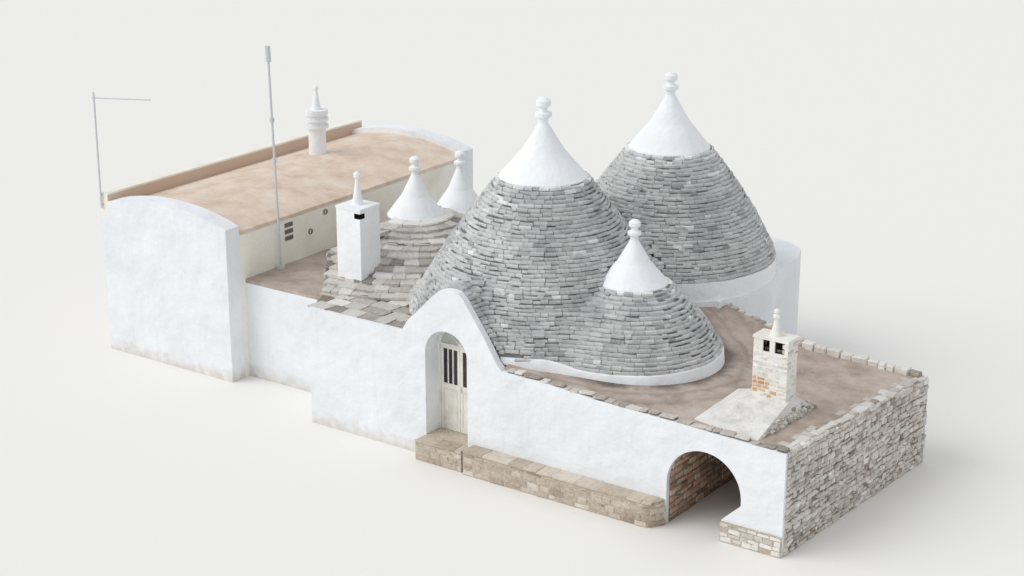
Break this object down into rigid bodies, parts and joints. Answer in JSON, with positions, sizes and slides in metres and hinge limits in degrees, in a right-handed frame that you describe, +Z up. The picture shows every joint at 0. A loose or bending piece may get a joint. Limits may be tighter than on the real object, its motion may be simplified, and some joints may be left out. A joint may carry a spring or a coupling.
{
  "type": "trullo house",
  "caption": "Dry-stone trullo house with fused corbelled cones, a gabled entrance, a vaulted tunnel block, flat roofs and a low barrel-vaulted annex.",
  "frame": {"origin": "on the ground plane, under the centre of the main cone's room, on the flat underside of the room floor", "axes": "+X along the front wall towards the tunnel block, +Y from the front wall into the house, +Z up"},
  "size_m": [21.1418, 12.04, 8.5252],
  "materials": {
    "floor_rooms": "worn limestone floor",
    "wall_front_left": "limewashed masonry",
    "wall_front_right": "limewashed masonry",
    "wall_left": "limewashed masonry",
    "wall_back": "limewashed masonry",
    "tunnel_block": "rough limestone",
    "facade_right": "limewashed masonry",
    "gable": "limewashed masonry",
    "parapet_left": "limewashed masonry",
    "dormer": "weathered limestone slabs laid dry",
    "roof_right": "weathered lime screed roof",
    "roof_left": "weathered limestone slabs laid dry",
    "terrace_left": "limewashed masonry",
    "terrace_back": "limewashed masonry",
    "ring_main": "limewashed masonry",
    "ring_side": "limewashed masonry",
    "ring_back": "limewashed masonry",
    "cone_main_foot": "weathered limestone slabs laid dry",
    "cone_main": "weathered limestone slabs laid dry",
    "cone_side": "weathered limestone slabs laid dry",
    "cone_back": "weathered limestone slabs laid dry",
    "cone_twin_front": "weathered limestone slabs laid dry",
    "cone_twin_rear": "weathered limestone slabs laid dry",
    "cap_main": "limewashed masonry",
    "cap_side": "limewashed masonry",
    "cap_back": "limewashed masonry",
    "caps_twin": "limewashed masonry",
    "door_frame": "cream paint",
    "leaf_left": "cream paint",
    "leaf_right": "cream paint",
    "pane_left": "clear glass",
    "pane_right": "clear glass",
    "fanlight": "clear glass",
    "ledges": "rough limestone",
    "chimney_left": "limewashed masonry",
    "chimney_right": "rough limestone",
    "chimney_mound": "limewashed masonry",
    "chimney_annex": "limewashed masonry",
    "link_walls": "limewashed masonry",
    "link_roof": "weathered lime screed roof",
    "annex_walls": "cream lime plaster",
    "annex_ends": "limewashed masonry",
    "annex_vault": "pinkish beige lime plaster",
    "annex_parapet": "cream lime plaster",
    "annex_floor": "worn limestone floor",
    "aerials": "galvanised steel, painted light grey"
  },
  "bodies": {
    "house": {"floor_rooms": "floor_rooms", "wall_front_left": "wall_front_left", "wall_front_right": "wall_front_right", "wall_left": "wall_left", "wall_back": "wall_back", "tunnel_block": "tunnel_block", "facade_right": "facade_right", "gable": "gable", "parapet_left": "parapet_left", "dormer": "dormer", "roof_right": "roof_right", "roof_left": "roof_left", "terrace_left": "terrace_left", "terrace_back": "terrace_back", "ring_main": "ring_main", "ring_side": "ring_side", "ring_back": "ring_back", "cone_main_foot": "cone_main_foot", "cone_main": "cone_main", "cone_side": "cone_side", "cone_back": "cone_back", "cone_twin_front": "cone_twin_front", "cone_twin_rear": "cone_twin_rear", "cap_main": "cap_main", "cap_side": "cap_side", "cap_back": "cap_back", "caps_twin": "caps_twin", "door_frame": "door_frame", "fanlight": "fanlight", "ledges": "ledges", "chimney_left": "chimney_left", "chimney_right": "chimney_right", "chimney_mound": "chimney_mound", "chimney_annex": "chimney_annex", "link_walls": "link_walls", "link_roof": "link_roof", "annex_walls": "annex_walls", "annex_ends": "annex_ends", "annex_vault": "annex_vault", "annex_parapet": "annex_parapet", "annex_floor": "annex_floor", "aerials": "aerials"},
    "door_left": {"leaf_left": "leaf_left", "pane_left": "pane_left"},
    "door_right": {"leaf_right": "leaf_right", "pane_right": "pane_right"}
  },
  "joints": [
    {"name": "door_left_hinge", "type": "hinge", "parent": "house", "child": "door_left", "pos_m": [-0.906, -2.8, 1.5], "axis": [0, 0, 1], "range_deg": [0, 88]},
    {"name": "door_right_hinge", "type": "hinge", "parent": "house", "child": "door_right", "pos_m": [0.206, -2.8, 1.5], "axis": [0, 0, -1], "range_deg": [0, 88]}
  ]
}
